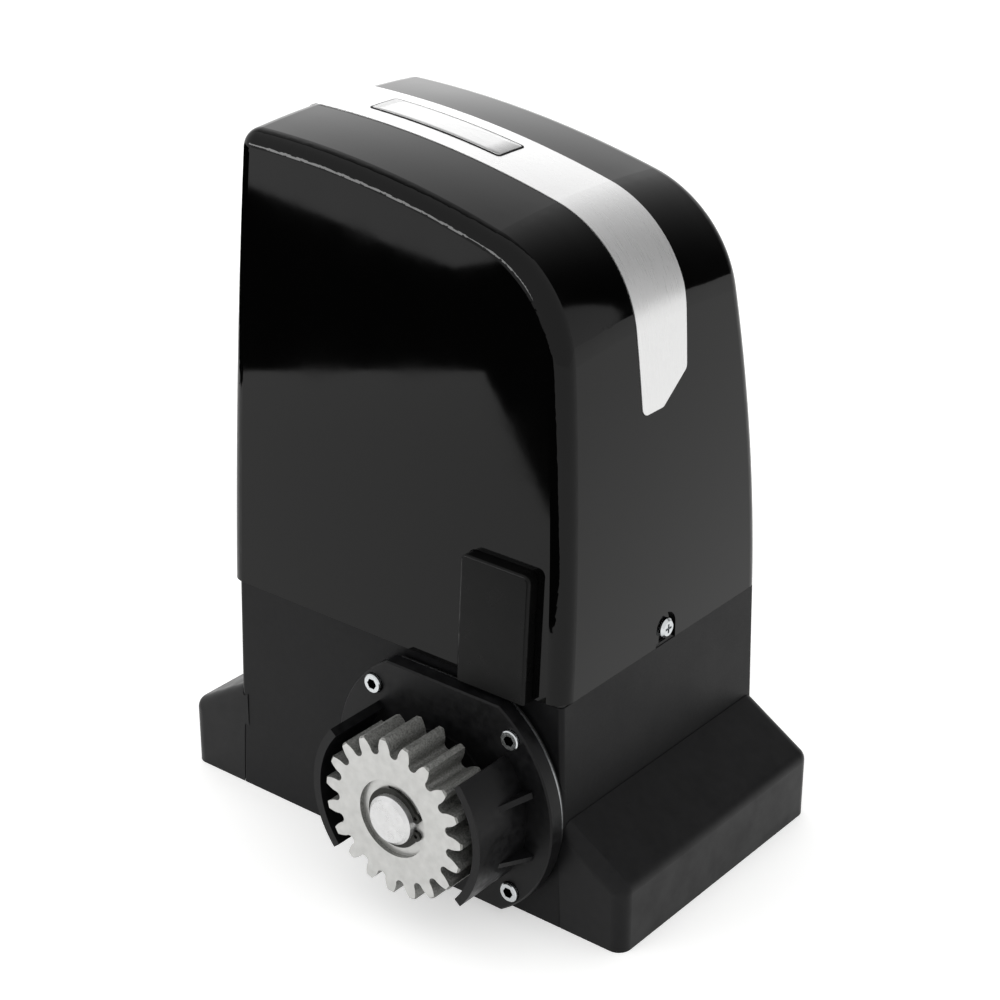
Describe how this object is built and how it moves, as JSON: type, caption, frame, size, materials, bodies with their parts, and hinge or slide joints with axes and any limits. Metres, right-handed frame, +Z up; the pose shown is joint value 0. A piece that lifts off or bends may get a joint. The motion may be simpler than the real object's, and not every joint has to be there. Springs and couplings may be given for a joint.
{
  "type": "sliding gate motor",
  "caption": "Sliding gate motor: drafted body on two feet, tall glossy cover with a silver trim, and a guarded drive pinion on the gate side.",
  "frame": {"origin": "centre of the base bolt pattern on the floor plane", "axes": "+X along the gate, -Y towards the gate and its rack, +Z up"},
  "size_m": [0.2808, 0.2147, 0.353],
  "materials": {
    "black_casting": "satin powder coat on die-cast aluminium",
    "black_foot": "fine-grained moulded polypropylene",
    "black_gloss": "polished black ABS",
    "silver_trim": "satin silver film on plastic",
    "black_rubber": "matt rubber",
    "zinc_screw": "bright zinc plate",
    "green_board": "solder-masked board",
    "black_guard": "glass-filled nylon",
    "raw_aluminium": "as cast and machined",
    "bearing_steel": "ground",
    "machined_steel": "turned",
    "black_steel": "phosphated spring steel",
    "pinion_steel": "faced front, rough hobbed flanks",
    "bronze": "cast and hobbed",
    "core_steel": "laminated",
    "copper": "enamelled wire",
    "zinc_sheet": "galvanised sheet",
    "relay_blue": "moulded",
    "terminal_green": "moulded",
    "coil_yellow": "tape-wrapped",
    "capacitor_grey": "drawn can"
  },
  "bodies": {
    "housing": {"base_casting": "black_casting", "right_foot_cover": "black_foot", "left_foot_cover": "black_foot", "top_cover": "black_gloss", "trim_strip": "silver_trim", "cover_seal": "black_rubber", "cover_screws": "zinc_screw", "sensor_housing": "black_gloss", "sensor_board": "green_board", "pinion_guard": "black_guard", "flange_screws": "zinc_screw", "gearbox_cover": "raw_aluminium", "gearbox_gasket": "black_rubber", "oil_seal": "black_rubber", "output_bearings": "bearing_steel", "worm_bearings": "bearing_steel", "lower_end_shield": "raw_aluminium", "upper_end_shield": "raw_aluminium", "stator_core": "core_steel", "stator_windings": "copper", "tie_bolts": "zinc_screw", "component_tray": "black_foot", "board_bracket": "zinc_sheet", "board_standoffs": "zinc_sheet", "control_board": "green_board", "relays": "relay_blue", "terminal_blocks": "terminal_green", "heat_sink": "raw_aluminium", "transformer_core": "core_steel", "transformer_coil": "coil_yellow", "capacitor": "capacitor_grey", "capacitor_clip": "zinc_sheet", "cable_grommet": "black_rubber"},
    "output": {"output_shaft": "machined_steel", "pinion_key": "machined_steel", "circlip": "black_steel", "drive_pinion": "pinion_steel", "worm_wheel": "bronze", "wheel_key": "machined_steel"},
    "rotor": {"worm_shaft": "machined_steel", "rotor_core": "core_steel", "cooling_fan": "black_foot"},
    "release": {"release_lever": "black_foot", "release_spindle": "machined_steel", "release_cam": "machined_steel"},
    "lock": {"lock_barrel": "zinc_screw"},
    "plunger": {"release_plunger": "machined_steel"}
  },
  "joints": [
    {"name": "rotor_spin", "type": "hinge", "parent": "housing", "child": "rotor", "pos_m": [0.00125, -0.005, 0.18], "axis": [0, 0, 1], "continuous": true},
    {"name": "output_spin", "type": "hinge", "parent": "housing", "child": "output", "pos_m": [0.04125, -0.1161, 0.0604], "axis": [0, 1, 0], "continuous": true},
    {"name": "lever_swing", "type": "hinge", "parent": "housing", "child": "release", "pos_m": [0.04125, 0.06705, 0.0604], "axis": [0, 0, -1], "range_deg": [0, 90]},
    {"name": "plunger_slide", "type": "slide", "parent": "housing", "child": "plunger", "axis": [0, 1, 0], "range_m": [0, 0.00424]},
    {"name": "key_turn", "type": "hinge", "parent": "release", "child": "lock", "pos_m": [-0.01375, 0.071, 0.0604], "axis": [0, 1, 0], "range_deg": [0, 90]}
  ],
  "couplings": [
    {"joint": "output_spin", "follows": "rotor_spin", "ratio": -0.041667},
    {"joint": "plunger_slide", "follows": "lever_swing", "m_per_rad": 0.0027009}
  ]
}
